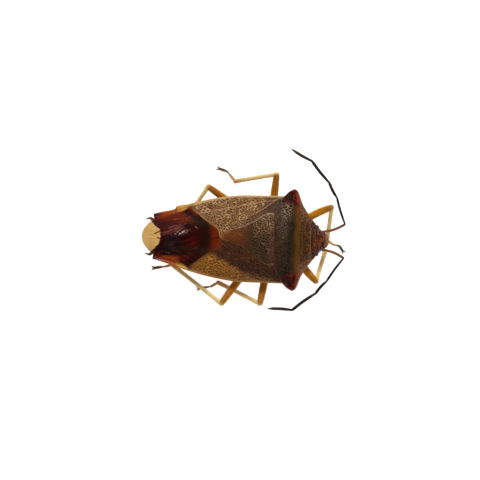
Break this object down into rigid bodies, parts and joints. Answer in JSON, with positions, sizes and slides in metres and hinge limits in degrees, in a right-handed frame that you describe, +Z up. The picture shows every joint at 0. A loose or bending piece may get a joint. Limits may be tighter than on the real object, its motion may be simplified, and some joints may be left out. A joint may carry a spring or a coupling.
{
  "type": "shield bug",
  "caption": "Life-size hawthorn shield bug, wings folded, standing on six legs with its feelers spread to the sides.",
  "frame": {"origin": "middle of the footprint on the floor, under the soles of the feet", "axes": "+X towards the head along the body, +Y the animal's left side, +Z up from the floor"},
  "size_m": [0.0166, 0.0132, 0.0053],
  "materials": {
    "head_shell": "satin, pitted",
    "pronotum_shell": "satin, pitted, glossy dark red horns",
    "scutellum_shell": "satin, pitted",
    "wing": "satin leathery front, clear veined rear",
    "dark_red_shell": "glossy",
    "underside_shell": "satin",
    "thigh": "satin amber",
    "shin": "satin straw",
    "foot": "satin brown",
    "feeler": "satin black",
    "eye": "fine facets, glossy"
  },
  "bodies": {
    "root": {"head": "head_shell", "pronotum": "pronotum_shell", "scutellum": "scutellum_shell", "thorax": "underside_shell", "abdomen": "dark_red_shell", "genital_capsule": "dark_red_shell", "beak": "shin", "eye_left": "eye", "eye_right": "eye", "antenna_left": "feeler", "antenna_right": "feeler", "forewing_left": "wing", "forewing_right": "wing", "femur_fore_left": "thigh", "tibia_fore_left": "shin", "tarsus_fore_left": "foot", "femur_fore_right": "thigh", "tibia_fore_right": "shin", "tarsus_fore_right": "foot", "femur_mid_left": "thigh", "tibia_mid_left": "shin", "tarsus_mid_left": "foot", "femur_mid_right": "thigh", "tibia_mid_right": "shin", "tarsus_mid_right": "foot", "femur_hind_left": "thigh", "tibia_hind_left": "shin", "tarsus_hind_left": "foot", "femur_hind_right": "thigh", "tibia_hind_right": "shin", "tarsus_hind_right": "foot"}
  },
  "joints": []
}
